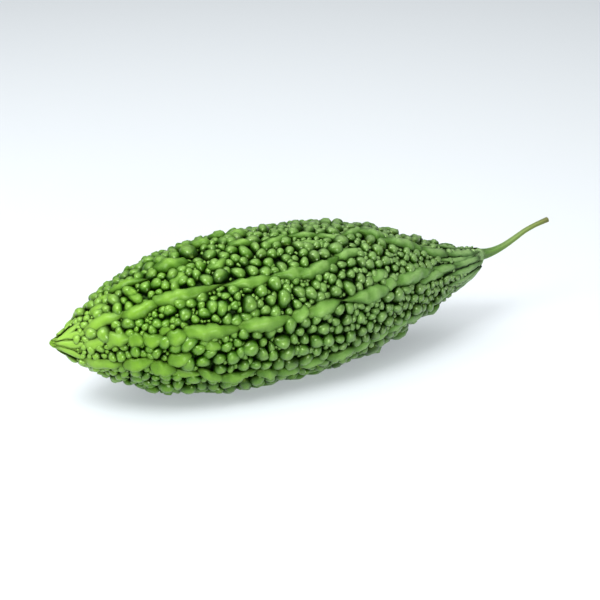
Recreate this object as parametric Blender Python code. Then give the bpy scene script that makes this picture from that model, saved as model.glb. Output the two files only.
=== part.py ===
"""Bitter gourd lying on its side: the ridged and warty fruit, and the stalk it was picked with.

Metres, +Z up. The origin is the middle of the small flat spot that the fruit rests on, under its
weight, and +X runs along the fruit from its pointed tip to its stalk. Places on the fruit are given
as a distance along its axis from the tip, and an angle round it: 0 faces -Y and 90 degrees is up.
"""

import math

import bmesh
import bpy
import numpy as np
from mathutils import Vector
from mathutils.geometry import delaunay_2d_cdt

TURN = 2 * math.pi
GAP = 0.0003

# Fruit: distance along the axis and radius of the flesh between the warts
OUTLINE = np.array((
    (0.0, 0.0), (0.0006, 0.0009), (0.0030, 0.0022), (0.0060, 0.0040), (0.0100, 0.0067),
    (0.0230, 0.0150), (0.0420, 0.0232), (0.0650, 0.0277), (0.0910, 0.0283), (0.1180, 0.0270),
    (0.1410, 0.0211), (0.1600, 0.0136), (0.1750, 0.0083), (0.1840, 0.0056), (0.1885, 0.0041),
    (0.1900, 0.0026),
))
FULLEST = 0.0283
REST_FROM_TIP = 0.0890
REST_DEPTH = 0.0011
SHOULDER_FROM_TIP = 0.1700
SHOULDER_LIFT = 0.0035
BEAK_TO = 0.0100
BEAK_LIFT = 0.0014
OUTLINE_STEPS = 1200
LEAST_RADIUS = 0.0003
LEAST_FULLNESS = 0.001

# Rings round both ends: distance along the axis and how many places
TIP_RING = (0.0008, 6)
BEAK_RING = (0.0028, 9)
SHOULDER_RING = (0.1870, 14)
SEAT_RING = (0.1900, 12)

# Ridges: angle round the fruit in degrees, length of a long swelling, and where the first one starts
RIDGES = (
    (80, 0.027, 0.006), (48, 0.025, 0.009), (16, 0.022, 0.000), (-27, 0.019, 0.004),
    (-67, 0.024, 0.011), (-109, 0.021, 0.002), (-150, 0.026, 0.008), (-191, 0.023, 0.013),
    (-236, 0.020, 0.005),
)
RIDGE_HEIGHT = 0.0033
RIDGE_HALF_WIDTH = 0.0032
RIDGE_FROM_TIP = 0.0055
RIDGE_TO = 0.1815
RIDGE_STEP = 0.0052
SHOULDER_SHARE = 0.45
# Powers of the fullness by which the steps, heights and widths of the ridges shrink to both ends
STEP_FALL = 0.5
HEIGHT_FALL = 0.8
WIDTH_FALL = 0.6
WAVE_LENGTH = 0.048
WAVE = 0.0007
WAVE_LAG = 0.37
WAVE_LEAST_RADIUS = 0.002
TIP_SWELLING = 0.36
LONG_SWELLINGS_FROM = 0.045
WAIST = 0.5
WAIST_SHARPNESS = 0.5

# Warts: the largest first, then smaller ones in the gaps they leave
WART_SEED = 11
WART_SIZES = (0.00290, 0.00205)
WART_TRIES = (16000, 16000)
WART_CORNERS = (5, 4)
WART_HEIGHT = 0.95
WART_TOP = 0.55
WART_UNEVENNESS = 0.06
WARTS_FROM_TIP = 0.0110
WARTS_TO = 0.1740
RIDGE_CLEARANCE = 0.75
SIZE_SPREAD = 0.12
SIZE_FALL = 0.5

# Stalk: points along its middle from the fruit's end, and its thickness there
STALK_RUN = ((0.0, 0.0), (0.0015, 0.0), (0.0060, 0.0006), (0.0110, 0.0022), (0.0160, 0.0046),
             (0.0210, 0.0072), (0.0260, 0.0090), (0.0325, 0.0106))
STALK_RADII = (0.0025, 0.0023, 0.00180, 0.00145, 0.00130, 0.00115, 0.00110, 0.00122)
STALK_STEPS = 5
STALK_RIBS = 5
STALK_SIDES = 20
RIB_DEPTH = 0.10

# Joining the places into faces: how far past a full turn they are repeated, and what counts as one place
MARGIN = 1.2
SAME_PLACE = 1e-7
COPIES = (0, -1, 1)

FRUIT_GREEN = (0.115, 0.270, 0.045)
FRUIT_ROUGHNESS = 0.42
STALK_GREEN = (0.300, 0.420, 0.160)
STALK_ROUGHNESS = 0.55


def smooth_curve(stations, values, at):
    """Smooth curve through the values given at the stations"""
    slopes = np.gradient(values, stations)
    span = np.clip(np.searchsorted(stations, at) - 1, 0, len(stations) - 2)
    width = stations[span + 1] - stations[span]
    part = (at - stations[span]) / width
    rising = part * part * (3 - 2 * part)
    bend = part * (1 - part) * ((1 - part) * slopes[span] - part * slopes[span + 1])
    return values[span] * (1 - rising) + values[span + 1] * rising + bend * width


def fruit_outline():
    """Distance along the axis, radius, and both slopes, at even steps along the skin from the tip"""
    chords = np.hypot(*np.diff(OUTLINE, axis=0).T)
    stations = np.concatenate([[0], np.cumsum(chords)])
    at = np.linspace(0, stations[-1], OUTLINE_STEPS)
    axis, radius = (smooth_curve(stations, OUTLINE[:, side], at) for side in (0, 1))
    return axis, radius, np.gradient(axis, at), np.gradient(radius, at), at


AXIS, RADIUS, AXIS_SLOPE, RADIUS_SLOPE, SKIN = fruit_outline()
# How far a place is along the skin, each step divided by the radius there, so that a small square
# on the fruit stays square when it is unrolled
UNROLLED = np.cumsum(np.gradient(SKIN) / np.maximum(RADIUS, LEAST_RADIUS))


def unroll(axis):
    """Unrolled distance of a place on the axis"""
    return np.interp(axis, AXIS, UNROLLED)


def radius_at(along):
    """Radius of the flesh at an unrolled distance"""
    return np.interp(along, UNROLLED, RADIUS)


def fullness(along):
    """How full the fruit is there, from 0 at the tip to 1 at its waistline"""
    return np.clip(radius_at(along) / FULLEST, LEAST_FULLNESS, 1)


def raised(along, angle, height):
    """Places on the fruit at unrolled distances and angles, raised off the flesh along its normal. The
    axis is lifted towards both ends, at the shoulder by a cube law and at the beak by a square law."""
    axis, radius, axis_slope, radius_slope = (
        np.interp(along, UNROLLED, values) for values in (AXIS, RADIUS, AXIS_SLOPE, RADIUS_SLOPE))
    steepness = np.hypot(axis_slope, radius_slope)
    axis = axis - height * radius_slope / steepness
    radius = radius + height * axis_slope / steepness
    beyond = np.clip((axis - SHOULDER_FROM_TIP) / (OUTLINE[-1, 0] - SHOULDER_FROM_TIP), 0, 1)
    before = np.clip(1 - axis / BEAK_TO, 0, 1)
    middle = FULLEST + REST_DEPTH + SHOULDER_LIFT * beyond ** 3 + BEAK_LIFT * before ** 2
    return np.stack([axis - REST_FROM_TIP, -radius * np.cos(angle), middle + radius * np.sin(angle)], 1)


def ridge(number, along):
    """Angle, height and half width of a ridge: a wavy chain of swellings, short ones near the tip"""
    angle, swelling, start = RIDGES[number]
    axis = np.interp(along, UNROLLED, AXIS)
    full = fullness(along)
    wave = WAVE * full * np.sin(TURN * (axis / WAVE_LENGTH + number * WAVE_LAG))
    crest = np.radians(angle) + wave / np.maximum(radius_at(along), WAVE_LEAST_RADIUS)
    short = np.minimum(axis, LONG_SWELLINGS_FROM) / (TIP_SWELLING * swelling)
    long = np.maximum(axis - LONG_SWELLINGS_FROM, 0) / swelling
    rise = np.abs(np.sin(math.pi * (short + long + start / swelling))) ** WAIST_SHARPNESS
    swell = 1 - WAIST * (1 - rise)
    return crest, RIDGE_HEIGHT * full ** HEIGHT_FALL * swell, RIDGE_HALF_WIDTH * full ** WIDTH_FALL * swell


def around(difference):
    """An angle difference brought to within half a turn"""
    return (difference + math.pi) % TURN - math.pi


def clear_of_ridges(along, angle, size):
    """Whether a wart of this size stands clear of every ridge"""
    for number in range(len(RIDGES)):
        crest, _, half_width = ridge(number, along)
        if abs(around(angle - crest)) * radius_at(along) < half_width + RIDGE_CLEARANCE * size:
            return False
    return True


def place_warts():
    """Warts as rows of unrolled distance, angle, size and corners, each clear of the ones before it.
    The first is the one underneath that the fruit rests on."""
    draw = np.random.default_rng(WART_SEED)
    warts = [(float(unroll(REST_FROM_TIP)), 0.75 * TURN, WART_SIZES[0], WART_CORNERS[0])]
    for size, tries, corners in zip(WART_SIZES, WART_TRIES, WART_CORNERS):
        spots = draw.uniform((unroll(WARTS_FROM_TIP), 0), (unroll(WARTS_TO), TURN), (tries, 2))
        spreads = draw.uniform(1 - SIZE_SPREAD, 1 + SIZE_SPREAD, tries)
        for (along, angle), spread in zip(spots, spreads):
            own = size * spread * fullness(along) ** SIZE_FALL
            others = np.array(warts)
            away = np.hypot(others[:, 0] - along, around(others[:, 1] - angle)) * radius_at(along)
            if np.all(away > own + others[:, 2]) and clear_of_ridges(along, angle, own):
                warts.append((along, angle, own, corners))
    return np.array(warts)


def triangulate(along, angle, lines=()):
    """Delaunay triangles of the unrolled places, which keep the lines. The angle wraps round at a full
    turn, so the places are repeated a turn before and after, and only one copy of a triangle is kept."""
    count = len(along)
    places = np.concatenate([np.stack([along, angle % TURN + copy * TURN], 1) for copy in COPIES])
    near = (places[:, 1] > -MARGIN) & (places[:, 1] < TURN + MARGIN)
    kept = np.flatnonzero(near)
    number = np.cumsum(near) - 1
    edges = []
    for first, second in lines:
        wrap = round((angle[first] % TURN - angle[second] % TURN) / TURN)
        for copy in COPIES:
            if copy + wrap in COPIES:
                one = COPIES.index(copy) * count + first
                other = COPIES.index(copy + wrap) * count + second
                if near[one] and near[other]:
                    edges.append((int(number[one]), int(number[other])))
    corners = [Vector(places[place]) for place in kept]
    _, _, faces, sources, _, _ = delaunay_2d_cdt(corners, edges, [], 0, SAME_PLACE)
    triangles = []
    for face in faces:
        found = [int(kept[sources[corner][0]]) for corner in face]
        if min(COPIES[place // count] for place in found) == 0:
            triangles.append([place % count for place in found])
    return triangles


def ridge_step(axis):
    """Step along the axis from one place of a ridge to the next"""
    return RIDGE_STEP * float(fullness(unroll(axis))) ** STEP_FALL


def ridge_points():
    """Places in rows along the foot and the shoulder of each side of every ridge, and those rows as
    lines. The places of one side stand half a step off those of the other."""
    places = []
    lines = []
    for number in range(len(RIDGES)):
        for side, offset in ((-1, 0), (1, 0.5)):
            axis = RIDGE_FROM_TIP + offset * ridge_step(RIDGE_FROM_TIP)
            start = len(places)
            while axis < RIDGE_TO:
                along = float(unroll(axis))
                crest, height, half_width = ridge(number, along)
                for share, rise in ((1.0, 0.0), (SHOULDER_SHARE, height)):
                    places.append((along, crest + side * share * half_width / radius_at(along), rise))
                axis += ridge_step(axis)
            lines += [(place, place + 2) for place in range(start, len(places) - 2)]
    return np.array(places), lines


def wart_points(warts):
    """Places round the blunt top of every wart, with their heights. Every other one reaches further,
    so that a top is never quite regular and there is only one best way to fill it with triangles."""
    places = []
    for number, (along, angle, size, corners) in enumerate(warts):
        for corner in range(int(corners)):
            reach = WART_TOP * size / radius_at(along) * (1 + corner % 2 * WART_UNEVENNESS)
            turn = TURN * corner / corners + number
            ahead, turned = reach * math.cos(turn), reach * math.sin(turn)
            places.append((along + ahead, angle + turned, WART_HEIGHT * size))
    return np.array(places)


def valley_points(warts, feet):
    """Bare places halfway across the gap between each two neighbours, and where three of them meet"""
    along = np.concatenate([warts[:, 0], feet[:, 0]])
    angle = np.concatenate([warts[:, 1], feet[:, 1]])
    size = np.concatenate([warts[:, 2], np.zeros(len(feet))])
    gaps = {}
    places = []
    for triangle in triangulate(along, angle):
        middles = []
        for first, second in zip(triangle, triangle[1:] + triangle[:1]):
            first, second = min(first, second), max(first, second)
            ahead, turned = along[second] - along[first], around(angle[second] - angle[first])
            apart = math.hypot(ahead, turned) * radius_at(along[first])
            share = 0.5 + (size[first] - size[second]) / (2 * apart)
            middles.append((along[first] + share * ahead, angle[first] + share * turned, 0.0))
            if second < len(warts):
                gaps[first, second] = middles[-1]
        if sum(corner < len(warts) for corner in triangle) > 1:
            middles = np.array(middles)
            middles[:, 1] = middles[0, 1] + around(middles[:, 1] - middles[0, 1])
            places.append(middles.mean(0))
    return np.array(places + list(gaps.values()))


def end_ring(axis, count):
    """Ring of places round one end of the fruit"""
    turns = np.arange(count) * TURN / count + math.radians(RIDGES[2][0])
    return np.stack([np.full(count, float(unroll(axis))), turns, np.zeros(count)], 1)


def make_fruit():
    """Fruit: flesh raised into ridges and warts, closed at the tip and by a flat seat for the stalk"""
    warts = place_warts()
    ridges, lines = ridge_points()
    tip, seat = (end_ring(*ring) for ring in (TIP_RING, SEAT_RING))
    places = np.concatenate([ridges, tip, seat, end_ring(*BEAK_RING), end_ring(*SHOULDER_RING),
                             wart_points(warts), valley_points(warts, ridges[::2])])
    faces = triangulate(places[:, 0], places[:, 1], lines)
    tip_from = len(ridges)
    seat_from = tip_from + len(tip)
    points = raised(*places.T)
    tip_pole = raised(UNROLLED[[0]], np.zeros(1), np.zeros(1))
    seat_pole = points[seat_from:seat_from + len(seat)].mean(0, keepdims=True)
    points = np.concatenate([points, tip_pole, seat_pole])
    for start, count, pole in ((tip_from, len(tip), len(places)), (seat_from, len(seat), len(places) + 1)):
        faces += [(start + corner, start + (corner + 1) % count, pole) for corner in range(count)]
    # The underside is pressed flat where it meets the surface that the fruit lies on
    points[:, 2] = np.maximum(points[:, 2], 0)
    return new_object("fruit", points, faces)


def new_object(name, points, faces):
    """Smooth object with its faces turned outward"""
    mesh = bpy.data.meshes.new(name)
    mesh.from_pydata(points.tolist(), [], faces)
    shape = bmesh.new()
    shape.from_mesh(mesh)
    bmesh.ops.recalc_face_normals(shape, faces=shape.faces)
    shape.to_mesh(mesh)
    shape.free()
    mesh.shade_smooth()
    return bpy.data.objects.new(name, mesh)


def stalk_section():
    """Closed outline of the stalk's section, with rounded ribs"""
    turns = -np.arange(STALK_SIDES) * TURN / STALK_SIDES
    reach = 1 - RIB_DEPTH * (1 - np.cos(STALK_RIBS * turns)) / 2
    curve = bpy.data.curves.new("stalk_section", "CURVE")
    curve.dimensions = "2D"
    spline = curve.splines.new("POLY")
    spline.points.add(STALK_SIDES - 1)
    for point, turn, size in zip(spline.points, turns, reach):
        point.co = (size * math.cos(turn), size * math.sin(turn), 0, 1)
    spline.use_cyclic_u = True
    section = bpy.data.objects.new("stalk_section", curve)
    section.hide_render = True
    section.display_type = "WIRE"
    return section


def make_stalk(section):
    """Stalk: its ribbed section swept along a bend that thins away from the fruit, cut square"""
    run = np.array(STALK_RUN)
    stations = np.concatenate([[0], np.cumsum(np.hypot(*np.diff(run, axis=0).T))])
    at = np.linspace(0, stations[-1], STALK_STEPS * (len(run) - 1) + 1)
    ahead, up = (smooth_curve(stations, run[:, side], at) for side in (0, 1))
    radii = smooth_curve(stations, np.array(STALK_RADII), at)
    up[:2] = 0
    curve = bpy.data.curves.new("stalk", "CURVE")
    curve.dimensions = "3D"
    curve.bevel_mode = "OBJECT"
    curve.bevel_object = section
    curve.use_fill_caps = True
    spline = curve.splines.new("POLY")
    spline.points.add(len(at) - 1)
    for point, x, z, radius in zip(spline.points, ahead, up, radii):
        point.co = (x, 0, z, 1)
        point.radius = radius
    spline.use_smooth = True
    stalk = bpy.data.objects.new("stalk", curve)
    middle = FULLEST + REST_DEPTH + SHOULDER_LIFT
    stalk.location = (OUTLINE[-1, 0] - REST_FROM_TIP + GAP, 0, middle)
    return stalk


def skin_material(name, colour, roughness):
    """Plain plant skin of one colour"""
    material = bpy.data.materials.new(name)
    material.use_nodes = True
    shader = material.node_tree.nodes["Principled BSDF"]
    shader.inputs["Base Color"].default_value = (*colour, 1)
    shader.inputs["Roughness"].default_value = roughness
    shader.inputs["Metallic"].default_value = 0
    material.diffuse_color = (*colour, 1)
    return material


def main():
    for old in list(bpy.data.objects):
        bpy.data.objects.remove(old)
    gourd = bpy.data.collections.new("Bitter gourd")
    guides = bpy.data.collections.new("Guides")
    for collection in (gourd, guides):
        bpy.context.scene.collection.children.link(collection)
    section = stalk_section()
    guides.objects.link(section)
    fruit = make_fruit()
    fruit.data.materials.append(skin_material("fruit skin", FRUIT_GREEN, FRUIT_ROUGHNESS))
    stalk = make_stalk(section)
    stalk.data.materials.append(skin_material("stalk skin", STALK_GREEN, STALK_ROUGHNESS))
    for piece in (fruit, stalk):
        gourd.objects.link(piece)


main()
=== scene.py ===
import math

import bpy
import numpy as np
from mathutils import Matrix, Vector


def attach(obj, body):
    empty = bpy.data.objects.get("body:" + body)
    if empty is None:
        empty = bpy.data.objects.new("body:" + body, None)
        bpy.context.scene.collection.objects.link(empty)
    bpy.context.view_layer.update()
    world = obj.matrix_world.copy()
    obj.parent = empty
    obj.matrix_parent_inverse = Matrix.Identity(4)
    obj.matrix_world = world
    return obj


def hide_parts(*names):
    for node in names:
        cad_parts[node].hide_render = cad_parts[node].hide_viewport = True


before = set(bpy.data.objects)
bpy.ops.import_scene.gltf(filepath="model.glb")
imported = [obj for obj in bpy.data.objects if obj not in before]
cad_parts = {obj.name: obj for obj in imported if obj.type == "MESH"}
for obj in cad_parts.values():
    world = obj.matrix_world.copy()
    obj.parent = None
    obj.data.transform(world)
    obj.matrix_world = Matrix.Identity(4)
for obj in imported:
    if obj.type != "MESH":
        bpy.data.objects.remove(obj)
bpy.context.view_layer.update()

# Flesh of the fruit, a grown body shaped like a spindle: pointed where the flower was and closing in
# a blunt shoulder round the stalk. Ridges and warts cover it, so only its valleys show, painted a deep
# green shade, and the fine folds that gather at its two ends.
TURN = 2 * math.pi
OUTLINE = np.array((
    (0.0, 0.0), (0.0006, 0.0009), (0.0030, 0.0022), (0.0060, 0.0040), (0.0100, 0.0067),
    (0.0230, 0.0150), (0.0420, 0.0232), (0.0650, 0.0277), (0.0910, 0.0283), (0.1180, 0.0270),
    (0.1410, 0.0211), (0.1600, 0.0136), (0.1750, 0.0083), (0.1840, 0.0056), (0.1885, 0.0041),
    (0.1900, 0.0026),
))
FULLEST = 0.0283
LEAST_RADIUS = 0.0003
LEAST_FULLNESS = 0.001
REST_FROM_TIP = 0.0890
REST_DEPTH = 0.0011
SHOULDER_FROM_TIP = 0.1700
SHOULDER_LIFT = 0.0035
BEAK_TO = 0.0100
BEAK_LIFT = 0.0014
CLEAR_OF_FLOOR = 0.0001
OUTLINE_STEPS = 1200
FLESH_ROWS = 250
FLESH_COLUMNS = 216
FIRST_RING = 0.0004
VALLEY_DEPTH = 0.0011
VALLEY_FALL = 0.7
# Folds at the two ends, in three sets: how many of each, how deep, and how they die out to the middle.
# They wander by radians to the side, in waves round the fruit and in radians a metre along it
FOLDS = (19, 31, 44)
FOLD_DEPTH = 0.00030
FOLD_FALL = 1.5
FOLD_WANDERS = ((2.0, 3, 150), (1.3, 0, 330))
FOLD_LAG = 0.2
GROUND_DEPTH = 0.00020
GROUND_WAVES = (9, 0.002, 0.006)
TIP_EASE = 0.002
STALK_EASE = 0.004
# How pale the bare ends are, lifted out of the painted shade: a slope and a start, over how slender the
# fruit is there
TIP_BARE = (3, 1.3)
STALK_BARE = (5, 3.4)


def smooth_curve(stations, values, at):
    """Cubic curve through the values at the stations, its slope at each the mean of the slopes beside it"""
    slopes = np.gradient(values, stations)
    span = np.clip(np.searchsorted(stations, at) - 1, 0, len(stations) - 2)
    width = stations[span + 1] - stations[span]
    part = (at - stations[span]) / width
    rising = part * part * (3 - 2 * part)
    bend = part * (1 - part) * ((1 - part) * slopes[span] - part * slopes[span + 1])
    return values[span] * (1 - rising) + values[span + 1] * rising + bend * width


skin_stations = np.concatenate([[0], np.cumsum(np.hypot(*np.diff(OUTLINE, axis=0).T))])
skin = np.linspace(0, skin_stations[-1], OUTLINE_STEPS)
axis_at_skin, radius_at_skin = (smooth_curve(skin_stations, OUTLINE[:, side], skin) for side in (0, 1))
axis_slopes, radius_slopes = np.gradient(axis_at_skin, skin), np.gradient(radius_at_skin, skin)
# Distance along the skin with each step divided by the radius there, which unrolls the fruit so that
# small squares stay square
unrolled = np.cumsum(np.gradient(skin) / np.maximum(radius_at_skin, LEAST_RADIUS))


def unroll(axis):
    """Unrolled distance of a place on the axis"""
    return np.interp(axis, axis_at_skin, unrolled)


def radius_at(along):
    """Radius of the flesh at an unrolled distance"""
    return np.interp(along, unrolled, radius_at_skin)


def fullness(along):
    """How full the fruit is there, from 0 at the tip to 1 at its waistline"""
    return np.clip(radius_at(along) / FULLEST, LEAST_FULLNESS, 1)


def raised(along, angle, height):
    """Places at unrolled distances and angles round the fruit, set off the flesh along its normal: the
    outline turned about the axis, the axis lifted by a cube law at the shoulder and by a square law at
    the tip, and whatever would sink into the floor pressed flat on it"""
    axis, radius, axis_slope, radius_slope = (
        np.interp(along, unrolled, values)
        for values in (axis_at_skin, radius_at_skin, axis_slopes, radius_slopes))
    steepness = np.hypot(axis_slope, radius_slope)
    axis = axis - height * radius_slope / steepness
    radius = radius + height * axis_slope / steepness
    beyond = np.clip((axis - SHOULDER_FROM_TIP) / (OUTLINE[-1, 0] - SHOULDER_FROM_TIP), 0, 1)
    before = np.clip(1 - axis / BEAK_TO, 0, 1)
    middle = FULLEST + REST_DEPTH + SHOULDER_LIFT * beyond ** 3 + BEAK_LIFT * before ** 2
    up = middle + radius * np.sin(angle)
    return np.stack([axis - REST_FROM_TIP, -radius * np.cos(angle), np.maximum(up, CLEAR_OF_FLOOR)], -1)


def closed_rings(points):
    """Closed skins, each given as rings of places from its one end to its other: the rings are joined
    by four-sided faces, and a fan to the middle of each end ring closes it"""
    count, rows, columns = points.shape[:3]
    poles = points[:, (0, -1)].mean(2)
    vertices = np.concatenate([points.reshape(count, -1, 3), poles], 1)
    here = np.arange(rows * columns).reshape(rows, columns)
    beside = np.roll(here, -1, 1)
    quads = np.stack([here[:-1], here[1:], beside[1:], beside[:-1]], -1).reshape(-1, 4)
    first = np.stack([np.full(columns, rows * columns), here[0], beside[0]], -1)
    last = np.stack([np.full(columns, rows * columns + 1), beside[-1], here[-1]], -1)
    shift = np.arange(count)[:, None, None] * vertices.shape[1]
    quads = (quads + shift).reshape(-1, 4)
    fans = (np.concatenate([first, last]) + shift).reshape(-1, 3)
    return vertices.reshape(-1, 3), quads, fans


def new_piece(name, points, slot, node, **marks):
    """Smooth object made of closed rings, facing out, with a number at each place for each mark. It is
    turned outwards by the sign of its volume, the sum of the wedges from the origin to its faces"""
    vertices, quads, fans = closed_rings(points)
    one, two, three = (vertices[fans[:, corner]] for corner in range(3))
    a, b, c, d = (vertices[quads[:, corner]] for corner in range(4))
    volume = (np.einsum("ij,ij->", one, np.cross(two, three)) + np.einsum("ij,ij->", a, np.cross(b, c))
              + np.einsum("ij,ij->", a, np.cross(c, d)))
    if volume < 0:
        quads, fans = quads[:, ::-1], fans[:, ::-1]
    mesh = bpy.data.meshes.new(name)
    mesh.from_pydata(vertices.tolist(), [], quads.tolist() + fans.tolist())
    for mark, values in marks.items():
        values = values.reshape(points.shape[0], -1)
        ends = values[:, (0, -1)]
        mesh.attributes.new(mark, "FLOAT", "POINT").data.foreach_set(
            "value", np.concatenate([values, ends], 1).astype(np.float32).ravel())
    mesh.shade_smooth()
    piece = bpy.data.objects.new(name, mesh)
    bpy.context.scene.collection.objects.link(piece)
    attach(piece, "root")
    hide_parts(node)
    return piece


class Wire:
    """Output of a shader node. Sums and products of wires and numbers add Math nodes."""

    def __init__(self, tree, socket=None):
        self.tree = tree
        self.socket = socket

    def node(self, kind, settings=None, sockets=None, output=0):
        """Any node: its type, its settings, and the values or wires of its sockets"""
        made = self.tree.nodes.new(kind)
        for name, value in (settings or {}).items():
            if name == "stops":
                while len(made.color_ramp.elements) < len(value):
                    made.color_ramp.elements.new(0.5)
                for stop, (place, colour) in zip(made.color_ramp.elements, value):
                    stop.position = place
                    stop.color = (*colour, 1)
            else:
                setattr(made, name, value)
        for name, value in (sockets or {}).items():
            if isinstance(value, Wire):
                self.tree.links.new(value.socket, made.inputs[name])
            else:
                made.inputs[name].default_value = value
        return Wire(self.tree, made.outputs[output])

    def math(self, operation, first, second=0.0):
        """Math node on two wires or numbers"""
        return self.node("ShaderNodeMath", {"operation": operation}, {0: first, 1: second})

    def mix(self, share, first, second, how="MIX"):
        """Colour between two colours, the second one where the share is 1"""
        first, second = ((*value, 1) if isinstance(value, tuple) else value for value in (first, second))
        settings = {"data_type": "RGBA", "blend_type": how, "clamp_factor": True}
        return self.node("ShaderNodeMix", settings, {0: share, 6: first, 7: second}, output=2)

    def noise(self, place, scale, detail=2.0, roughness=0.5):
        """Soft random pattern over the places, finer for a higher scale"""
        return self.node("ShaderNodeTexNoise", None,
                         {"Vector": place, "Scale": scale, "Detail": detail, "Roughness": roughness})

    def mark(self, name):
        """Number that the mesh holds at each of its places under this name"""
        return self.node("ShaderNodeAttribute", {"attribute_name": name}, output=2)

    def between(self, low, high):
        """0 up to low, 1 from high, and smooth between them"""
        settings = {"interpolation_type": "SMOOTHSTEP"}
        return self.node("ShaderNodeMapRange", settings, {0: self, 1: low, 2: high, 3: 0.0, 4: 1.0})

    def feed(self, shader, name):
        """Links this to a socket of the shader"""
        self.tree.links.new(self.socket, shader.inputs[name])

    def __add__(self, other):
        return self.math("ADD", self, other)

    def __mul__(self, other):
        return self.math("MULTIPLY", self, other)

    def __sub__(self, other):
        return self.math("SUBTRACT", self, other)

    def __rsub__(self, other):
        return self.math("SUBTRACT", other, self)

    __radd__ = __add__
    __rmul__ = __mul__


def start_material(name, **constants):
    """Material with its shader's constant sockets set, a wire to build from, and the object's places"""
    material = bpy.data.materials.new(name)
    material.use_nodes = True
    tree = material.node_tree
    shader = tree.nodes["Principled BSDF"]
    for socket, value in constants.items():
        shader.inputs[socket.replace("_", " ")].default_value = value
    wire = Wire(tree)
    place = wire.node("ShaderNodeTexCoord", output=3)
    return material, shader, wire, place


# Colours of the green skin in daylight: yellower by the tip, bluer by the stalk
RIDGE_BY_TIP = (0.088, 0.204, 0.014)
WART_DARK_BY_TIP = (0.0045, 0.040, 0.0001)
WART_DARK_BY_STALK = (0.0025, 0.021, 0.0001)
# Painted shade laid in the crevices, at the roots of warts and ridges and on the flesh between them
PAINTED_CREVICE_SHADE = (0.0003, 0.004, 0.0001)
# Painted highlight on the highest tops of warts and ridges and on the bare folds
PAINTED_HIGHLIGHT_BY_TIP = (0.150, 0.300, 0.020)
PAINTED_HIGHLIGHT_BY_STALK = (0.200, 0.315, 0.120)
PALE_TIP = (0.275, 0.470, 0.080)
PALE_TIP_SHARE = 0.85
SHOULDER_GREEN = (0.110, 0.185, 0.085)
SHOULDER_SHARE = 0.55
TIP_BROWN = (0.160, 0.165, 0.030)
TIP_BROWN_SHARE = 0.75
FRECKLE_PALE = (0.25, 0.36, 0.13)
FRECKLE_STRENGTH = 0.6
FRECKLE_SHARE = 0.42
# Where along the fruit a colour turns into the next, in metres from the place that it rests on
TIP_TO_STALK = (-0.085, 0.075)
PALE_TIP_REACH = (-0.094, -0.056)
SHOULDER_REACH = (0.072, 0.100)
TIP_BROWN_REACH = (-0.0884, -0.0862)
# How fine the patterns are: the higher the number, the finer the pattern
DRIFT_GRAIN = 22.0
MOTTLE_GRAIN = 240.0
FRECKLE_GRAIN = 2600.0
PAINTED_HIGHLIGHT_GRAIN = 380.0
TIP_BROWN_GRAIN = 320.0
UNEVEN_GRAIN = 420.0
# How far the pattern moves an edge between two colours, in metres
DRIFT = 0.02
TIP_BROWN_DRIFT = 0.003
BUMP_STRENGTH = 0.35
BUMP_DEPTH = 0.00020


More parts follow.
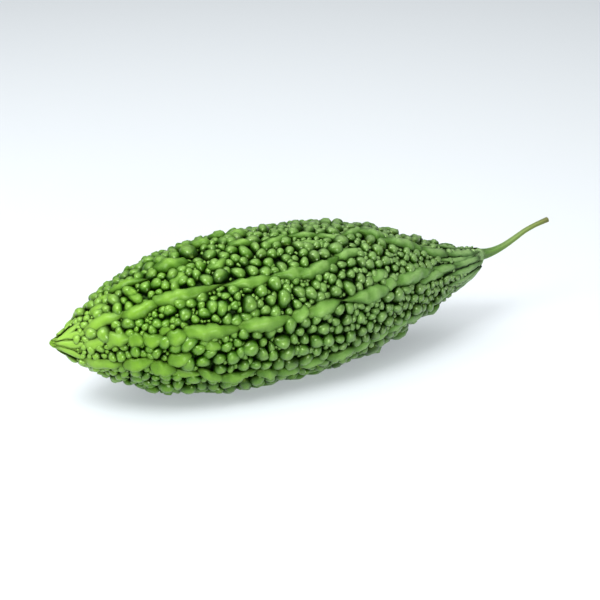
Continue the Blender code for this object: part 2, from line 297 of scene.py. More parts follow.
def green_skin(name, light, dark, roughness, grain, painted_shade_rise, gloss, **constants):
    """Skin of the fruit: light and dark greens mottled together, each a pair by tip and stalk, with pale
    freckles, a pale tip, a greyer shoulder and a brown point. By its height mark it has painted shade and
    painted highlight: the mottle leans dark low down, the skin turns a near-black painted shade towards
    the root of what stands on the flesh, and its top takes a patchy pale painted highlight. It is also
    glossier on its top. Its tint mark shifts the mottle."""
    material, shader, wire, place = start_material(name, **constants)
    rise, tint = wire.mark("rise"), wire.mark("tint")
    axis = wire.node("ShaderNodeSeparateXYZ", None, {0: place})
    to_stalk = (axis + DRIFT * (wire.noise(place, DRIFT_GRAIN) - 0.5)).between(*TIP_TO_STALK)
    pale = wire.mix(to_stalk, light[0], light[1])
    deep = wire.mix(to_stalk, dark[0], dark[1])
    # Painted shade and light: the mottle leans to the dark green low down and to the light green high up,
    # and on the ridges the tint mark adds painted light where they face the viewer
    mottle_and_painted_light = wire.noise(place, MOTTLE_GRAIN, 3.0, 0.6) * 0.8 + tint * 0.7 + rise * 0.6
    green = wire.mix(mottle_and_painted_light.between(0.50, 1.60), deep, pale)
    freckles = wire.noise(place, FRECKLE_GRAIN, 1.0).between(0.60, 0.74)
    green = wire.mix(freckles * FRECKLE_SHARE, green, wire.mix(FRECKLE_STRENGTH, green, FRECKLE_PALE))
    green = wire.mix((1 - axis.between(*PALE_TIP_REACH)) * PALE_TIP_SHARE, green, PALE_TIP)
    green = wire.mix(axis.between(*SHOULDER_REACH) * SHOULDER_SHARE, green, SHOULDER_GREEN)
    # Painted highlight: a patchy pale, bluish-white towards the stalk, on the highest tops
    painted_highlight = wire.mix(to_stalk, PAINTED_HIGHLIGHT_BY_TIP, PAINTED_HIGHLIGHT_BY_STALK)
    painted_highlight_share = rise.between(0.74, 1.05) * (0.05 + 0.9 * wire.noise(place, PAINTED_HIGHLIGHT_GRAIN))
    green = wire.mix(painted_highlight_share, green, painted_highlight)
    # Painted shade: near-black green towards the roots of what stands on the flesh
    green = wire.mix(rise.between(*painted_shade_rise), PAINTED_CREVICE_SHADE, green)
    point = axis + TIP_BROWN_DRIFT * wire.noise(place, TIP_BROWN_GRAIN)
    green = wire.mix((1 - point.between(*TIP_BROWN_REACH)) * TIP_BROWN_SHARE, green, TIP_BROWN)
    green.feed(shader, "Base Color")
    (rise.between(0.45, 0.90) * gloss).feed(shader, "Coat Weight")
    uneven = wire.noise(place, UNEVEN_GRAIN, 2.0)
    (roughness + 0.22 * (uneven - 0.5)).feed(shader, "Roughness")
    fine = wire.noise(place, grain, 3.0, 0.6) + 0.8 * wire.noise(place, grain * 0.28, 2.0) + 2.2 * uneven
    bump = {"Strength": BUMP_STRENGTH, "Distance": BUMP_DEPTH, "Height": fine}
    wire.node("ShaderNodeBump", None, bump).feed(shader, "Normal")
    return material


def waves(draw, count, shortest, longest):
    """Wavelengths, phases and headings of a sum of sine waves that passes for a random surface"""
    return (TURN / draw.uniform(shortest, longest, count), draw.uniform(0, TURN, count),
            draw.uniform(0, TURN, count))


def wavy(across, over, wave_set):
    """Sum of those waves at places given by two distances, about 1 at its highest"""
    total = 0
    for frequency, phase, heading in zip(*wave_set):
        total = total + np.sin(frequency * (across * np.cos(heading) + over * np.sin(heading)) + phase)
    return total / math.sqrt(len(wave_set[0]) * 2)


flesh_draw = np.random.default_rng(5)
flesh_skin = np.linspace(FIRST_RING, skin[-1], FLESH_ROWS)[:, None]
flesh_along = np.interp(flesh_skin, skin, unrolled)
flesh_angle = np.linspace(0, TURN, FLESH_COLUMNS, endpoint=False)[None, :]
slender = 1 - fullness(flesh_along)
# Height of the flesh: sines round the fruit make the folds, their phases wander, and a random surface
# roughens them. Both are eased out at the very ends, and the valleys sink in as the fruit gets fuller
wander = sum(swing * np.sin(turns * flesh_angle + pace * flesh_skin) for swing, turns, pace in FOLD_WANDERS)
folding = np.mean([np.sin(count * flesh_angle + wander * (1 + FOLD_LAG * number))
                   for number, count in enumerate(FOLDS)], 0)
ground = wavy(flesh_skin, flesh_angle * radius_at(flesh_along), waves(flesh_draw, *GROUND_WAVES))
tip_ease = np.clip(flesh_skin / TIP_EASE, 0, 1)
stalk_ease = np.clip((skin[-1] - flesh_skin) / STALK_EASE, 0, 1)
flesh_height = (FOLD_DEPTH * slender ** FOLD_FALL * folding + GROUND_DEPTH * ground) * tip_ease * stalk_ease
flesh_height = flesh_height - VALLEY_DEPTH * fullness(flesh_along) ** VALLEY_FALL * stalk_ease
# Its height mark is set for its colour alone: it stays low, so the flesh takes deep painted shade, less
# where the fruit is slender, and the bare ends count as raised, so that they come out pale, with painted
# highlight most of all on the fold crests
tipward = flesh_along < unroll(REST_FROM_TIP)
bare_tip, bare_stalk = (np.clip(slender * slope - start, 0, 1) for slope, start in (TIP_BARE, STALK_BARE))
bare = np.where(tipward, bare_tip, bare_stalk)
flesh_rise = 0.04 + 0.40 * slender + bare * (0.82 + 0.22 * folding)
flesh = new_piece("flesh", raised(flesh_along, flesh_angle, flesh_height)[None], "fruit_skin", "fruit",
                  rise=flesh_rise[None], tint=np.full_like(flesh_rise, 0.5)[None])
flesh.data.materials.append(green_skin(
    "valley skin", light=(RIDGE_BY_TIP, SHOULDER_GREEN), dark=(WART_DARK_BY_TIP, WART_DARK_BY_STALK),
    roughness=0.62, grain=1500.0, painted_shade_rise=(-0.60, 0.75), gloss=0.0, Specular_IOR_Level=0.08))


# Ridges: nine chains of long smooth swellings that run from the tip to the stalk, each with a fat end
# and a drawn-out one, some side by side where one ends and the next begins. The same flesh as the rest,
# duller, with waxy rounded backs that overhang the warts beside them.
RIDGE_HEIGHT = 0.0037
# Swellings in sight: start and end as millimetres from the tip and degrees round the fruit (0 faces the
# viewer, 90 is the top), half width in millimetres, and the share of the length where it is fattest
SWELLINGS_IN_SIGHT = (
    (19, 102, 26, 85, 2.0, 0.5), (25, 94, 40, 76, 2.4, 0.4), (42, 84, 56, 77, 3.7, 0.45),
    (54, 106, 61, 102, 3.5, 0.5), (60, 102, 68, 97, 3.6, 0.45),
    (69, 109, 76, 105, 3.6, 0.5), (75, 105, 84, 100, 3.5, 0.5), (72, 84, 84, 80, 2.6, 0.4),
    (84, 78, 98, 84, 2.2, 0.5),
    (97, 84, 110, 78, 2.0, 0.5), (108, 79, 118, 72, 1.9, 0.5), (97, 76, 112, 69, 1.4, 0.5),
    (117, 75, 131, 87, 2.3, 0.6), (127, 83, 139, 72, 3.1, 0.5), (135, 71, 158, 63, 3.1, 0.45),
    (154, 64, 171, 59, 2.5, 0.4), (167, 61, 187.5, 54, 1.9, 0.4),
    (148, 74, 172, 76, 1.2, 0.5), (158, 88, 187.5, 86, 1.5, 0.4),
    (1, 50, 15, 43, 1.7, 0.7), (12, 46, 28, 50, 2.7, 0.5), (25, 46, 40, 48, 2.9, 0.5),
    (37, 50, 67, 49, 3.0, 0.30), (60, 49, 84, 46, 2.5, 0.6), (78, 47, 98, 45, 2.7, 0.70),
    (93, 43, 115, 54, 2.9, 0.4), (109, 52, 124, 56, 2.5, 0.5),
    (1, 22, 13, 14, 1.6, 0.7), (11, 14, 19, 19, 2.3, 0.6), (19, 16, 28, 19, 3.1, 0.4),
    (26, 16, 32, 15, 2.9, 0.5), (31, 16, 39, 16, 3.0, 0.35), (37, 19, 42, 19, 1.9, 0.5),
    (39, 15, 47, 16, 3.5, 0.5), (45, 18, 70, 14, 3.4, 0.35), (65, 15, 91, 14, 3.3, 0.42),
    (87, 14, 95, 17, 3.0, 0.5), (93, 15, 110, 20, 3.4, 0.45), (105, 19, 133, 20, 3.4, 0.6),
    (129, 21, 136, 22, 2.6, 0.5), (134, 23, 159, 30, 2.9, 0.4), (156, 31, 174, 33, 1.9, 0.4),
    (170, 34, 187, 37, 1.4, 0.4), (160, 46, 187, 58, 1.1, 0.4),
    (148, 16, 168, 20, 2.2, 0.4), (164, 14, 187.5, 8, 1.5, 0.5), (169, 24, 187, 23, 1.1, 0.5),
    (1, -16, 13, -30, 1.7, 0.7), (1, 85, 14, 78, 1.6, 0.7), (1, 115, 13, 112, 1.5, 0.7),
    (11, -34, 25, -18, 2.9, 0.5), (24, -16, 35, -7, 3.3, 0.45),
    (33, -12, 43, -19, 3.5, 0.4), (39, -20, 54, -24, 2.1, 0.4), (50, -20, 61, -33, 3.0, 0.5),
    (58, -31, 75, -26, 3.0, 0.4), (73, -29, 84, -36, 3.1, 0.5), (82, -35, 93, -37, 3.1, 0.5),
    (91, -35, 104, -33, 2.7, 0.5), (103, -31, 117, -28, 3.0, 0.5), (115, -30, 124, -25, 2.4, 0.5),
    (123, -31, 133, -26, 2.4, 0.5), (131, -28, 144, -25, 2.0, 0.5), (141, -24, 157, -41, 2.2, 0.4),
    (154, -41, 176, -38, 1.8, 0.4), (172, -36, 188, -32, 1.9, 0.5), (170, -62, 188, -56, 1.9, 0.55),
    (166, -10, 187, -10, 1.3, 0.4),
    (39, -7, 48, -3, 3.1, 0.45), (52, 3, 59, 1, 2.5, 0.5), (29, 77, 34, 66, 3.0, 0.5),
    (30, 66, 35, 58, 2.7, 0.5), (124, 30, 132, 35, 2.4, 0.5), (45, 62, 52, 66, 2.4, 0.5),
    (60, 66, 69, 70, 2.5, 0.5), (16, 76, 23, 72, 2.3, 0.5), (120, -57, 137, -64, 4.2, 0.68),
    (136, -64, 149, -66, 4.2, 0.68), (151, -62, 166, -66, 4.2, 0.68),
)
# Ridges out of sight: degrees round the fruit, and how long their swellings are against the usual length,
# which goes by where a swelling starts, both in millimetres
HIDDEN_RIDGES = ((-67, 0.8), (-109, 1.0), (-150, 1.0), (-191, 1.0), (-236, 0.3))
USUAL_LENGTHS = ((20, 60, 80, 150), (6.5, 9, 17, 24))
SHORTEST = 4.2
LAST_START = 176
RIDGES_TO = 187.5
WIDEST_SHARE = 0.27
SCALLOPS = ((0.0095, 0.09), (0.0050, 0.09), (0.0031, 0.05))
DENTS = (12, 0.0032, 0.0080)
DENT_DEPTH = 0.19
# How a swelling's height falls away from the waistline: powers of the fullness to each side of it
FALL_TO_TIP = 0.65
FALL_TO_STALK = 0.52
USUAL_WIDTH = 0.0028
LEAST_PLUMP = 0.10
END_SHARE = 0.34
BACK_WAVE = 0.05
BACK_WAVE_LENGTH = 0.0065
WIDEST_AT = 0.44
ROOT_NARROWER = 0.36
ROOT_BELOW = 0.0010
RIDGE_LEAN = 0.16
RIDGE_BOW = 0.0012
SWELLING_ROWS = 28
SWELLING_COLUMNS = 18
# Painted light on the ridges: the side that faces the viewer, and how far round the fruit it spreads
PAINTED_LIGHT_FACING = math.radians(0)
PAINTED_LIGHT_SPREAD = math.radians(38)
RIDGE_BY_STALK = (0.086, 0.188, 0.040)
RIDGE_DARK_BY_TIP = (0.020, 0.096, 0.0002)
RIDGE_DARK_BY_STALK = (0.014, 0.060, 0.001)
GREEN_GLOSS = (0.55, 1.0, 0.12, 1.0)


def hidden_swellings(draw):
    """More rows of the same six numbers for the ridges out of sight, in chains with drawn lengths"""
    rows = []
    for ridge_angle, stretch in HIDDEN_RIDGES:
        first = draw.uniform(3, 6)
        while first < LAST_START:
            usual = np.interp(first, *USUAL_LENGTHS) * draw.uniform(0.7, 1.25)
            length = max(stretch * usual, SHORTEST)
            last = min(first + length, RIDGES_TO)
            angles = ridge_angle + draw.uniform(-5, 5, 2) * np.interp(first, (10, 40), (0.4, 1))
            rows.append((first, angles[0], last, angles[1], draw.uniform(2.5, 3.5), draw.uniform(0.3, 0.7)))
            first = last - draw.uniform(0.0, 0.16) * length
    return rows


ridge_draw = np.random.default_rng(21)
swelling_rows = np.array(SWELLINGS_IN_SIGHT + tuple(hidden_swellings(ridge_draw)))
swelling_rows[:, (0, 2, 4)] *= 0.001
swelling_rows[:, (1, 3)] = np.radians(swelling_rows[:, (1, 3)])
swelling_count = len(swelling_rows)


def around(difference):
    """An angle difference brought to within half a turn"""
    return (difference + math.pi) % TURN - math.pi


def drawn(draw, count, low, high):
    """One drawn number for each of the pieces of a set, to be used with their rings"""
    return draw.uniform(low, high, (count, 1, 1))


def each(low, high):
    """One drawn number for each swelling"""
    return drawn(ridge_draw, swelling_count, low, high)


# Rings along a swelling, closer together by its ends, and the angle round its section
start, start_angle, end, end_angle, width, fattest = swelling_rows.T[:, :, None, None]
start_along, end_along = unroll(start), unroll(end)
half_turn = np.linspace(0.03, 1, SWELLING_ROWS + 1)[:-1][None, :, None] * math.pi
run = (1 - np.cos(half_turn)) / 2
run = (run - run.min()) / (run.max() - run.min())
section = np.linspace(0, TURN, SWELLING_COLUMNS, endpoint=False)[None, None, :]
along = start_along + (end_along - start_along) * run
full = fullness(along)
length = np.hypot(end_along - start_along, end_angle - start_angle)
length = length * radius_at((start_along + end_along) / 2)
distance = length * run
# Plumpness over the run: half a sine wave, bent so that it peaks at the fattest place, to a power below 1
# that keeps it full, and to a larger one on the side that is drawn out into a tail
roundness = each(0.50, 0.80) * np.clip(length / 0.016, 0.65, 1)
drawn_out = np.where(fattest < 0.5, run > fattest, run < fattest) * np.clip(length / 0.020 - 0.4, 0, 1)
plump = np.sin(math.pi * run ** (math.log(0.5) / np.log(fattest))) ** (roundness * (1 + 0.7 * drawn_out))
plump = LEAST_PLUMP + (1 - LEAST_PLUMP) * plump
ease = np.minimum(1, 6 * plump ** 2) * np.clip(np.minimum(run, 1 - run) * length / 0.0008, 0.15, 1)
# Half width: the plumpness, scalloped by sines along the swelling that are out of step on its two sides
scallop = 0
for wave_length, depth in SCALLOPS:
    phase = TURN * distance / (wave_length * each(0.8, 1.25)) + each(0, TURN)
    scallop = scallop + depth * np.sin(phase + each(1.0, 2.8) * np.cos(section))
half_width = np.minimum(np.minimum(0.92 * width * plump, 0.42 * length), WIDEST_SHARE * radius_at(along))
half_width = half_width * (1 + scallop) * ease
# Height: less towards the ends of the fruit, more on a wide swelling, and waved along its back
fall = np.where(along < unroll(REST_FROM_TIP), FALL_TO_TIP, FALL_TO_STALK)
height = RIDGE_HEIGHT * full ** fall * each(0.92, 1.05)
height = height * np.clip(width / USUAL_WIDTH, 0.55, 1.10 + 0.9 * (1 - full)) * (1 + 0.35 * (1 - full))
back_wave = BACK_WAVE * np.sin(TURN * distance / (BACK_WAVE_LENGTH * each(0.8, 1.3)) + each(0, TURN))
end_share = END_SHARE * np.clip(length / 0.018, 0.2, 1)
back = height * (end_share + (1 - end_share) * plump ** 0.9) * (1 + back_wave + 0.25 * scallop)
# Section: a circle stretched to that width and height, widest below its middle, drawn in to its root,
# dented by a random surface, and leaning a little. The whole swelling bows to one side
middle = WIDEST_AT * back
side, upward = np.cos(section), np.sin(section)
side = side * (1 - ROOT_NARROWER * np.clip(-upward, 0, 1))
dents = DENT_DEPTH * wavy(distance, half_width * side, waves(ridge_draw, *DENTS))
peaked = np.abs(upward) * (1 + each(0.0, 0.2) * (np.abs(upward) - 1)) * (1 + dents)
upright = np.where(upward > 0, (back - middle) * peaked, -(middle + ROOT_BELOW) * np.abs(upward))
lean = each(-RIDGE_LEAN, RIDGE_LEAN) * half_width * upward
bow = each(-RIDGE_BOW, RIDGE_BOW) * np.sin(math.pi * run)
swelling_angle = start_angle + (end_angle - start_angle) * run
swelling_angle = swelling_angle + (half_width * side + lean + bow) / radius_at(along)
swelling_points = raised(along + 0 * section, swelling_angle, middle + upright)
swelling_rise = np.clip((middle + upright) / height, 0, 1)
# Painted light: ridges that face the viewer get a higher tint mark, so their mottle comes out paler
painted_light_share = np.exp(-(around(swelling_angle - PAINTED_LIGHT_FACING) / PAINTED_LIGHT_SPREAD) ** 2)
ridges = new_piece("ridges", swelling_points, "fruit_skin", "fruit", rise=swelling_rise,
                   tint=0.35 + 0.65 * painted_light_share + each(-0.2, 0.2))
ridges.data.materials.append(green_skin(
    "ridge skin", light=(RIDGE_BY_TIP, RIDGE_BY_STALK), dark=(RIDGE_DARK_BY_TIP, RIDGE_DARK_BY_STALK),
    roughness=0.44, grain=1700.0, painted_shade_rise=(0.16, 1.0), gloss=0.22,
    Specular_IOR_Level=0.26, Specular_Tint=GREEN_GLOSS, Coat_Roughness=0.30))


# Warts: firm round beads of the same flesh on narrow necks, packed tight between the ridges, large ones
# first and smaller ones in the gaps they leave. Some are oval, some lean, and a few neighbours have grown
# together in pairs.
WART_CLASSES = (((0.00330, 70), (0.00275, 380), (0.00225, 460)),
                ((0.00185, 700), (0.00145, 1000)),
                ((0.00110, 900), (0.00080, 800)))
# Warts in sight: millimetres from the tip, degrees round the fruit and half width in millimetres
WARTS_IN_SIGHT = (
    (39.1, 107, 2.93), (44.6, 104, 2.93), (51.3, 106, 2), (54, 101, 1.91), (58.1, 90, 3.85),
    (63.5, 98, 1.91), (67.5, 96, 2.16), (72, 93, 2.62), (75.7, 90, 2.62), (47, 90, 3.23), (47.3, 70, 2.71),
    (50, 62, 2.46), (55.4, 62, 2.22), (40.4, 68, 2.4), (43.7, 62, 2.22), (36.6, 68, 2.4), (31.5, 74, 2.62),
    (32.5, 62, 2.31), (25.7, 71, 2.93), (19, 64, 2.31), (29.1, 56, 2.22), (64.1, 66, 2.62),
    (66.8, 60, 1.91), (50.6, 41, 2.4), (47.3, 33, 2.71), (54.3, 29, 2.4), (61.1, 31, 2.96),
    (42.3, 38, 2.53), (37.2, 29, 2.28), (40.1, 28, 1.91), (50.3, 26, 1.97), (65.5, 30, 1.91),
    (63.5, 40, 1.91), (27.2, 36, 2.59), (31.2, 35, 1.91), (32.8, 28, 1.72), (62.4, 22, 2.46),
    (42.3, 4, 2.93), (49.6, 0, 2.77), (52.3, -12, 2.93), (58.1, -10, 2.93), (23.4, -4, 2.22),
    (20.5, -7, 1.91), (28.2, 4, 2.4), (35.6, 1, 2.22), (32.8, 4, 1.85), (20.5, -70, 2.46),
    (24.6, -47, 2.46), (29.7, -42, 3.08), (40.4, -50, 3.33), (48.6, -48, 3.33), (53.3, -43, 2.59),
    (58.1, -46, 2.59), (23.7, 27, 2.16), (21.9, 56, 1.54), (40.1, 42, 1.85), (36.9, 38, 1.48),
    (59.1, 40, 1.54), (67.9, 37, 1.85), (44.3, 26, 1.91), (42.7, 30, 1.54), (91.6, 103, 3.09),
    (94.6, 94, 2.26), (97.3, 89, 1.89), (103.8, 93, 2.69), (111.9, 100, 2.91), (116.7, 92, 2.62),
    (120.5, 88, 2.26), (128.5, 106, 2.18), (136.6, 105, 2.91), (139.5, 96, 2.18), (143, 92, 1.89),
    (148.1, 98, 2.26), (116.7, 69, 3.35), (121.8, 46, 2.26), (127.8, 50, 2.26), (133.7, 45, 2.4),
    (139.2, 47, 1.75), (142.4, 43, 1.89), (149, 48, 2.18), (137.9, 38, 1.89), (119.1, 33, 2.4),
    (122.5, 54, 2.18), (126.8, 34, 2.18), (131.1, 34, 2.18), (92.3, 32, 2.84), (96.6, 29, 2.84),
    (87.6, 35, 2.26), (85.6, 28, 3.28), (81.2, 21, 2.69), (79.8, 29, 2.26), (71.3, 30, 3.28),
    (75.4, 28, 1.89), (100.7, 0, 2.91), (107.8, -4, 2.48), (117.7, 1, 2.62), (122.8, -2, 1.89),
    (125.8, -14, 2.26), (118.4, -12, 2.26), (145.3, 0, 2.26), (149.6, -2, 2.04), (140.5, -4, 2.18),
    (132.4, -12, 2.55), (135, -2, 2.18), (102.1, 31, 2.55), (107.2, 36, 2.26), (111.6, 38, 2),
    (99.7, 35, 2.18), (104.8, 40, 1.82), (125.5, 14, 1.82), (120.5, 7, 1.82), (127.5, 7, 1.82),
    (153.6, 0, 1.82), (158.8, -2, 1.67), (161.9, 6, 1.6),
)
WARTS_FROM_TIP = 0.0095
WARTS_TO = 0.1860
RIDGE_SHARE = 0.0048
SIZE_SPREAD = 0.20
SIZE_FALL = 0.62
# Packing: steps, how many warts ahead each one minds, how far apart they hold at first and in the end as
# a share of their sizes, how far they may tuck under a ridge, and how much of a push is taken each step
PACKING_STEPS = 160
NEIGHBOURS = 110
FIRST_TOUCH = 1.7
TOUCH = 0.98
RIDGE_TUCK = 0.74
WART_PUSH = 0.42
RIDGE_PUSH = 0.8
# A wart is dropped if it still lies deeper than this in a ridge, in its like or in a larger one
MOST_IN_RIDGE = 0.75
MOST_IN_LIKE = 0.75
MOST_IN_LARGER = 0.64
PAIRED_FROM = 0.0018
PAIRED_SHARE = 0.06
PAIR_TOUCH = 0.98
PAIR_SIZE = 0.80
WART_RINGS = np.radians((22, 48, 74, 100, 126))
WART_COLUMNS = 12
NECK = 0.45
ROOT_DEPTH = 0.0014
# Lumps round a wart: waves round it, their depth, and which way they slant down it
LUMPS = ((2, 0.13, 1), (3, 0.10, -1))
# Least and most, as shares of a wart's size: lifted off the flesh, tall above that, pointed, and oval
LIFTED = (0.05, 0.35)
TALL = (0.88, 1.10)
POINTED = (-0.08, 0.30)
OVAL = (0.90, 1.16)
WART_LEAN = 0.34
WART_BY_TIP = (0.027, 0.118, 0.0001)
WART_BY_STALK = (0.018, 0.073, 0.001)
# Pieces by size: half widths over the first number, up to the second
WART_PIECES = (("large_warts", 0.0021, 0.01), ("warts", 0.0014, 0.0021), ("small_warts", 0.0010, 0.0014),
               ("tiny_warts", 0, 0.0010))


def push_from_ridges(along, angle, size):
    """Move that takes each wart clear of the swellings, in metres along and round the fruit, and how far
    it was from clear"""
    ahead, turned = (end_along - start_along)[:, 0, 0], (end_angle - start_angle)[:, 0, 0]
    out_along = along[:, None] - start_along[None, :, 0, 0]
    out_angle = around(angle[:, None] - start_angle[None, :, 0, 0])
    share = np.clip((out_along * ahead + out_angle * turned) / (ahead ** 2 + turned ** 2), 0.02, 0.98)
    out_along, out_angle = out_along - share * ahead, out_angle - share * turned
    radius = radius_at(along)[:, None]
    away = np.hypot(out_along, out_angle) * radius + 1e-9
    stand = width[:, 0, 0] * np.sin(math.pi * share ** (math.log(0.5) / np.log(fattest[:, 0, 0]))) ** 0.7
    short = np.clip(RIDGE_TUCK * (stand + size[:, None]) - away, 0, None)
    worst = short.argmax(1)
    rows = np.arange(len(along))
    scale = short[rows, worst] / away[rows, worst] * radius[:, 0]
    return out_along[rows, worst] * scale, out_angle[rows, worst] * scale, short[rows, worst]


def packed(draw, classes, fixed):
    """Rows of unrolled distance, angle and size. Round places are drawn evenly over the skin, then pushed
    apart and off the ridges, over and over, at first from afar and in the end only where they overlap,
    until they lie tight together. Fixed ones stay where they are."""
    size = np.concatenate([np.full(count, size) for size, count in classes])
    size = size * draw.uniform(1 - SIZE_SPREAD, 1 + SIZE_SPREAD, len(size))
    room = np.clip(radius_at_skin - RIDGE_SHARE, 0.0004, None) / fullness(unrolled) ** (2 * SIZE_FALL)
    room = np.cumsum(room * (axis_at_skin > WARTS_FROM_TIP) * (axis_at_skin < WARTS_TO))
    along = np.interp(draw.uniform(0, room[-1], len(size)), room, unrolled)
    angle = draw.uniform(0, TURN, len(size))
    size = size * fullness(along) ** SIZE_FALL
    loose = np.arange(len(size) + len(fixed)) < len(size)
    along, angle, size = (np.concatenate(both) for both in zip((along, angle, size), fixed.T))
    low, high = unroll(WARTS_FROM_TIP), unroll(WARTS_TO)
    for step in range(PACKING_STEPS):
        order = np.argsort(along)
        along, angle, size, loose = along[order], angle[order], size[order], loose[order]
        rows = np.arange(len(along))[:, None]
        other = np.minimum(rows + np.arange(1, NEIGHBOURS)[None, :], len(along) - 1)
        radius = radius_at(along)[:, None]
        ahead, turned = along[other] - along[:, None], around(angle[other] - angle[:, None])
        away = np.hypot(ahead, turned) * radius + 1e-9
        touch = np.interp(step, (0, 0.6 * PACKING_STEPS), (FIRST_TOUCH, TOUCH))
        short = np.clip(touch * (size[other] + size[:, None]) - away, 0, None) * (other > rows)
        scale = WART_PUSH * short / away * radius
        moves = []
        for part in (ahead, turned):
            move = -(part * scale).sum(1) + np.bincount(other.ravel(), (part * scale).ravel(), len(along))
            moves.append(move)
        off_along, off_angle, _ = push_from_ridges(along, angle, size)
        along = np.clip(along + loose * (moves[0] + RIDGE_PUSH * off_along) / radius[:, 0], low, high)
        angle = angle + loose * (moves[1] + RIDGE_PUSH * off_angle) / radius[:, 0]
    return np.stack([along, angle, size], 1)[loose]


def distances(warts, others):
    """How far each of the others is from each wart: along and round the fruit, and in metres"""
    ahead = warts[:, None, 0] - others[None, :, 0]
    turned = around(warts[:, None, 1] - others[None, :, 1])
    return ahead, turned, np.hypot(ahead, turned) * radius_at(warts[:, 0])[:, None]


def overlap(warts, others, same):
    """Deepest overlap of each wart with the others, as a share of its own size"""
    short = warts[:, None, 2] + others[None, :, 2] - distances(warts, others)[2]
    if same:
        short[np.arange(len(warts)), np.arange(len(warts))] = 0
    return short.max(1) / warts[:, 2]


def paired(warts, draw):
    """Extra warts set halfway between some near neighbours, so that the pair reads as one kidney shape"""
    big = warts[warts[:, 2] > PAIRED_FROM]
    _, turned, away = distances(big, big)
    near = away < PAIR_TOUCH * (big[:, None, 2] + big[None, :, 2])
    one, other = np.nonzero(np.triu(near, 1))
    kept = draw.uniform(0, 1, len(one)) < PAIRED_SHARE
    one, other = one[kept], other[kept]
    return np.stack([(big[one, 0] + big[other, 0]) / 2, big[other, 1] + turned[one, other] / 2,
                     PAIR_SIZE * np.minimum(big[one, 2], big[other, 2])], 1)


wart_draw = np.random.default_rng(33)
warts = np.array(WARTS_IN_SIGHT)
warts = np.stack([unroll(warts[:, 0] * 0.001), np.radians(warts[:, 1]), warts[:, 2] * 0.001], 1)
for classes in WART_CLASSES:
    fill = packed(wart_draw, classes, warts)
    fill = fill[push_from_ridges(*fill.T)[2] < MOST_IN_RIDGE * fill[:, 2]]
    fill = fill[overlap(fill, fill, True) < MOST_IN_LIKE]
    fill = fill[overlap(fill, warts, False) < MOST_IN_LARGER]
    warts = np.concatenate([warts, fill])
warts = np.concatenate([warts, paired(warts, wart_draw)])
wart_along, wart_angle, wart_size = (warts[:, column, None, None] for column in range(3))


def each_wart(low, high):
    """One drawn number for each wart"""
    return drawn(wart_draw, len(warts), low, high)


# A wart is a ball from its top down to below its widest, lifted off the flesh and closed by a narrow neck
# that is rooted in it. Its rings are lumpy by sines of two and three waves, and its top may be pointed
turns = np.linspace(0, TURN, WART_COLUMNS, endpoint=False)[None, None, :] + each_wart(0, TURN)
down = WART_RINGS[None, :, None]
lumps = 1
for lobes, depth, slant in LUMPS:
    lumps = lumps + depth * np.sin(lobes * turns + each_wart(0, TURN) + slant * down)
reach = wart_size * np.sin(down) * (1 + (lumps - 1) * np.sin(down))
lift = wart_size * each_wart(*LIFTED) * np.clip(wart_size / 0.0018, 0.4, 1)
tall = wart_size * each_wart(*TALL) * np.clip(wart_size / 0.0024, 1, 2) ** -0.35
point = each_wart(*POINTED)
heights = lift + tall * (np.cos(down) + point * np.clip(np.cos(down), 0, 1) ** 3) + 0 * turns
neck_reach = NECK * wart_size * lumps
reach = np.concatenate([reach, neck_reach], 1)
heights = np.concatenate([heights, -ROOT_DEPTH + 0 * neck_reach], 1)
# It is drawn out along a heading of its own, and leans by a share of its height
oval = each_wart(*OVAL)
heading = each_wart(0, TURN)
long_way, short_way = reach * np.cos(turns) * oval, reach * np.sin(turns) / oval
above = np.maximum(heights, 0)
ahead = long_way * np.cos(heading) - short_way * np.sin(heading) + each_wart(-WART_LEAN, WART_LEAN) * above
turned = long_way * np.sin(heading) + short_way * np.cos(heading) + each_wart(-WART_LEAN, WART_LEAN) * above
local_radius = radius_at(wart_along)
wart_points = raised(wart_along + ahead / local_radius, wart_angle + turned / local_radius, heights)
wart_rise = np.clip((heights + 0.0003) / (lift + tall), 0, 1)
wart_tint = each_wart(0, 1) + 0 * wart_rise
wart_skin = green_skin(
    "wart skin", light=(WART_BY_TIP, WART_BY_STALK), dark=(WART_DARK_BY_TIP, WART_DARK_BY_STALK),
    roughness=0.38, grain=2200.0, painted_shade_rise=(0.34, 1.05), gloss=0.50,
    Specular_IOR_Level=0.55, Specular_Tint=GREEN_GLOSS, Coat_Roughness=0.24)
for name, over, up_to in WART_PIECES:
    chosen = (wart_size[:, 0, 0] > over) & (wart_size[:, 0, 0] <= up_to)
    piece = new_piece(name, wart_points[chosen], "fruit_skin", "fruit", rise=wart_rise[chosen],
                      tint=wart_tint[chosen])
    piece.data.materials.append(wart_skin)


# Stalk: a thin bent stalk with five rounded ribs, flared where it grows out of the fruit and cut
# square at its far end. Green by the fruit and straw-coloured towards the cut.
GAP = 0.0003
STALK_RUN = np.array(((0.0, 0.0), (0.0015, 0.0), (0.0060, 0.0006), (0.0110, 0.0022), (0.0160, 0.0046),
                      (0.0210, 0.0072), (0.0260, 0.0090), (0.0325, 0.0106)))
STALK_RADII = np.array((0.0025, 0.0023, 0.00180, 0.00145, 0.00130, 0.00115, 0.00110, 0.00122))
STALK_ROWS = 120
STALK_COLUMNS = 60
STALK_RIBS = 5
RIB_DEPTH = 0.10
FINE_RIBS = 11
FINE_RIB_DEPTH = 0.020
TWIST = 18
# Colours along the stalk, from 0 at the fruit to 1 at the cut
BARK_STOPS = ((0.0, (0.045, 0.115, 0.017)), (0.18, (0.080, 0.180, 0.022)), (0.5, (0.140, 0.225, 0.042)),
              (0.85, (0.135, 0.175, 0.024)), (1.0, (0.110, 0.095, 0.022)))
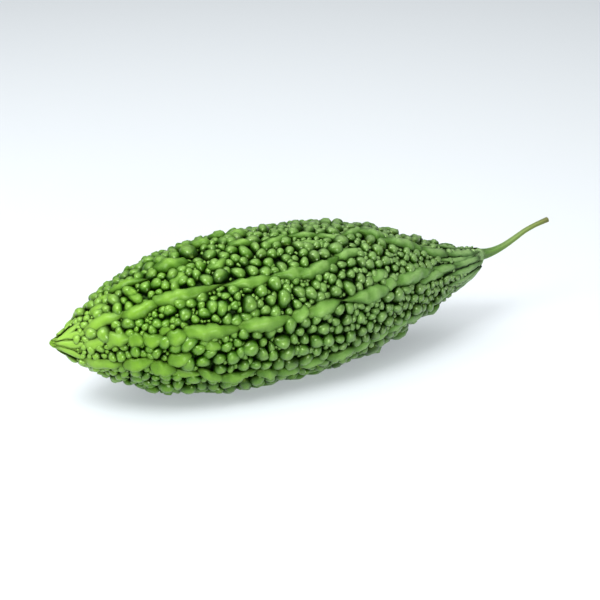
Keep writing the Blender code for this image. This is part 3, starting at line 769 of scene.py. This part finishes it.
# Painted shade in the grooves between the ribs
PAINTED_GROOVE_SHADE = (0.028, 0.062, 0.011)
BARK_STREAK = (0.150, 0.205, 0.075)
STREAK_SHARE = 0.30


def stalk_bark():
    """Stalk's skin: green by the fruit, straw-coloured along the middle and olive at the cut, with painted
    shade in the grooves between the ribs, and pale streaks"""
    material, shader, wire, place = start_material("stalk bark", Specular_IOR_Level=0.4)
    run = wire.node("ShaderNodeValToRGB", {"stops": BARK_STOPS}, {"Fac": wire.mark("rise")})
    # Painted shade: darker where the tint mark is low, down in the grooves
    colour = wire.mix(wire.mark("tint").between(0.0, 0.9), wire.mix(0.55, run, PAINTED_GROOVE_SHADE), run)
    streaks = wire.noise(place, 900.0, 2.0).between(0.35, 0.75)
    wire.mix(streaks * STREAK_SHARE, colour, BARK_STREAK).feed(shader, "Base Color")
    (0.48 + 0.2 * (wire.noise(place, 500.0) - 0.5)).feed(shader, "Roughness")
    bump = {"Strength": 0.4, "Distance": 0.0001, "Height": wire.noise(place, 1800.0, 3.0)}
    wire.node("ShaderNodeBump", None, bump).feed(shader, "Normal")
    return material


# Rings square to a curve through the run's points. Their radius dips between the ribs by a cosine round
# the stalk, with finer ribs on it, and the ribs twist along it
stalk_stations = np.concatenate([[0], np.cumsum(np.hypot(*np.diff(STALK_RUN, axis=0).T))])
stalk_at = np.linspace(0, stalk_stations[-1], STALK_ROWS)
stalk_ahead, stalk_up = (smooth_curve(stalk_stations, STALK_RUN[:, side], stalk_at) for side in (0, 1))
stalk_radius = smooth_curve(stalk_stations, STALK_RADII, stalk_at)[:, None]
tilt = np.arctan2(np.gradient(stalk_up, stalk_at), np.gradient(stalk_ahead, stalk_at))[:, None]
stalk_turn = np.linspace(0, TURN, STALK_COLUMNS, endpoint=False)[None, :]
twist = stalk_at[:, None] * TWIST
ribs = 1 - RIB_DEPTH * (1 - np.cos(STALK_RIBS * stalk_turn + twist)) / 2
ribs = ribs + FINE_RIB_DEPTH * np.sin(FINE_RIBS * stalk_turn - 1.4 * twist + 0.5)
outward = stalk_radius * ribs
sideways, upward = outward * np.cos(stalk_turn), outward * np.sin(stalk_turn)
stalk_points = np.stack([
    stalk_ahead[:, None] - upward * np.sin(tilt) + OUTLINE[-1, 0] - REST_FROM_TIP + GAP, sideways,
    stalk_up[:, None] + upward * np.cos(tilt) + FULLEST + REST_DEPTH + SHOULDER_LIFT], -1)
along_stalk = (stalk_at / stalk_at[-1])[:, None] + 0 * stalk_turn
# Its tint mark is how far out each place stands on the ribs, for the painted shade in the grooves
stalk = new_piece("stalk_skin", stalk_points[None], "stalk_skin", "stalk", rise=along_stalk[None],
                  tint=((ribs - 0.88) / 0.14)[None])
stalk.data.materials.append(stalk_bark())


# Floor: a plain board, far larger than the view, painted matt white. A faint even glow keeps the shadows
# on it as light as in a bright room.
FLOOR_SIDE = 12.0
FLOOR_WHITE = (0.432, 0.458, 0.478)
FLOOR_GLOW = 0.67
half = FLOOR_SIDE / 2
floor_corners = [(-half, -half, 0), (half, -half, 0), (half, half, 0), (-half, half, 0)]
floor_mesh = bpy.data.meshes.new("floor")
floor_mesh.from_pydata(floor_corners, [], [(0, 1, 2, 3)])
floor = bpy.data.objects.new("floor", floor_mesh)
bpy.context.scene.collection.objects.link(floor)
floor_paint, floor_shader, _, _ = start_material("floor paint", Roughness=0.9, Specular_IOR_Level=0.1)
floor_shader.inputs["Base Color"].default_value = (*FLOOR_WHITE, 1)
floor_shader.inputs["Emission Color"].default_value = (*FLOOR_WHITE, 1)
floor_shader.inputs["Emission Strength"].default_value = FLOOR_GLOW
floor_mesh.materials.append(floor_paint)


# Light: a dim white room with four square lamps that all face the fruit. A wide one hangs overhead, a
# small bright one above and to the left, a low one in front lifts the shaded side, and a faint one stands
# past the tip. Each is given by its place, its side and its power in watts.
LAMPS = (
    ((-0.12, 0.02, 0.72), 1.30, 10.4), ((-0.28, -0.17, 0.54), 0.24, 2.9),
    ((-0.02, -0.62, 0.16), 0.20, 2.6), ((-0.62, -0.10, 0.20), 0.30, 0.7),
)
LAMP_TARGET = Vector((0, 0, 0))
ROOM_LIGHT = 0.22


def aim(thing, target):
    """Turns a lamp or a camera so that it looks at a place"""
    direction = thing.location - target
    thing.rotation_euler = direction.to_track_quat("Z", "Y").to_euler()


for lamp_place, lamp_side, lamp_power in LAMPS:
    lamp_data = bpy.data.lights.new("lamp", "AREA")
    lamp_data.size = lamp_side
    lamp_data.energy = lamp_power
    lamp = bpy.data.objects.new("lamp", lamp_data)
    bpy.context.scene.collection.objects.link(lamp)
    lamp.location = lamp_place
    aim(lamp, LAMP_TARGET)

room = bpy.data.worlds.new("room")
room.use_nodes = True
room.node_tree.nodes["Background"].inputs["Color"].default_value = (1, 1, 1, 1)
room.node_tree.nodes["Background"].inputs["Strength"].default_value = ROOM_LIGHT
bpy.context.scene.world = room
bpy.context.scene.view_settings.view_transform = "Standard"


# Camera: a long lens that looks down on the middle of the fruit, from a little to the side where the tip
# is, so that the tip comes nearer than the stalk.
CAMERA_AZIMUTH = math.radians(-25)
CAMERA_ELEVATION = math.radians(25)
CAMERA_DISTANCE = 0.575
CAMERA_TARGET = Vector((0.0155, 0.0, 0.0283))
CAMERA_LENS = 85
camera_data = bpy.data.cameras.new("camera")
camera_data.lens = CAMERA_LENS
camera_data.clip_start = 0.01
camera = bpy.data.objects.new("camera", camera_data)
bpy.context.scene.collection.objects.link(camera)
to_camera = Vector((math.sin(CAMERA_AZIMUTH) * math.cos(CAMERA_ELEVATION),
                    -math.cos(CAMERA_AZIMUTH) * math.cos(CAMERA_ELEVATION), math.sin(CAMERA_ELEVATION)))
camera.location = CAMERA_TARGET + CAMERA_DISTANCE * to_camera
aim(camera, CAMERA_TARGET)
bpy.context.scene.camera = camera
